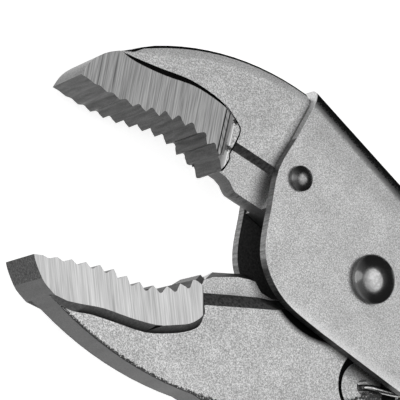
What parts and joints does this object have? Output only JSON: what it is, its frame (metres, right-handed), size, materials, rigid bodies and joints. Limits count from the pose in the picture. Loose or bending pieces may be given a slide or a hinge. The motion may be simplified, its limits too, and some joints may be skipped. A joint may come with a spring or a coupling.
{
  "type": "locking pliers",
  "caption": "Curved-jaw locking pliers with serrated jaws, a wire cutter, pressed sheet handles, an over-centre toggle link and a knurled adjusting screw.",
  "frame": {"origin": "middle of the box round the open pliers, on the surface they lie on", "axes": "+X from the jaws' noses to the adjusting knob, +Y towards the back of the fixed handle, +Z along the pivots, away from the surface"},
  "size_m": [0.2473, 0.1336, 0.0167],
  "materials": {
    "pressed_steel": "blasted satin nickel-plated sheet",
    "forged_steel": "blasted satin forging with ground jaw faces",
    "stamped_steel": "tumbled satin plate",
    "rivet_steel": "polished nickel plate",
    "screw_steel": "oiled turned steel",
    "knob_steel": "satin nickel plate, knurled",
    "spring_steel": "bright drawn wire"
  },
  "bodies": {
    "frame": {"upper_handle": "pressed_steel", "upper_jaw": "forged_steel", "upper_jaw_front_rivet": "rivet_steel", "upper_jaw_rear_rivet": "rivet_steel", "main_pivot_rivet": "rivet_steel", "spring_anchor": "stamped_steel", "tension_spring": "spring_steel"},
    "lower_jaw": {"lower_jaw": "forged_steel"},
    "lower_handle": {"lower_handle": "pressed_steel", "lower_handle_rivet": "rivet_steel", "toggle_link_rivet": "rivet_steel", "release_lever_rivet": "rivet_steel"},
    "toggle_link": {"toggle_link": "stamped_steel"},
    "release_lever": {"release_lever": "stamped_steel"},
    "adjusting_screw": {"adjusting_screw": "screw_steel"},
    "adjusting_knob": {"adjusting_knob": "knob_steel"}
  },
  "joints": [
    {"name": "jaw_hinge", "type": "hinge", "parent": "frame", "child": "lower_jaw", "pos_m": [-0.05435, 0.0424, 0.00833], "axis": [0, 0, 1], "range_deg": [-27.2, 0], "deforming": ["tension_spring"]},
    {"name": "handle_hinge", "type": "hinge", "parent": "lower_jaw", "child": "lower_handle", "pos_m": [-0.04085, 0.0179, 0.00833], "axis": [0, 0, 1], "range_deg": [0, 55.86]},
    {"name": "link_hinge", "type": "hinge", "parent": "lower_handle", "child": "toggle_link", "pos_m": [0.00271, 0.00024, 0.00833], "axis": [0, 0, 1], "range_deg": [-46.07, 0]},
    {"name": "lever_hinge", "type": "hinge", "parent": "lower_handle", "child": "release_lever", "pos_m": [0.03251, -0.02716, 0.00833], "axis": [0, 0, 1], "range_deg": [-7, 0]},
    {"name": "screw_slide", "type": "slide", "parent": "frame", "child": "adjusting_screw", "axis": [1, 0, 0], "range_m": [0, 0.012]},
    {"name": "knob_spin", "type": "hinge", "parent": "adjusting_screw", "child": "adjusting_knob", "pos_m": [0.06065, 0.0404, 0.00833], "axis": [1, 0, 0], "range_deg": [0, 2885]}
  ],
  "couplings": [
    {"joint": "handle_hinge", "follows": "jaw_hinge", "ratio": -2.05},
    {"joint": "link_hinge", "follows": "jaw_hinge", "ratio": 1.69},
    {"joint": "knob_spin", "follows": "screw_slide", "rad_per_m": 4188.8}
  ]
}
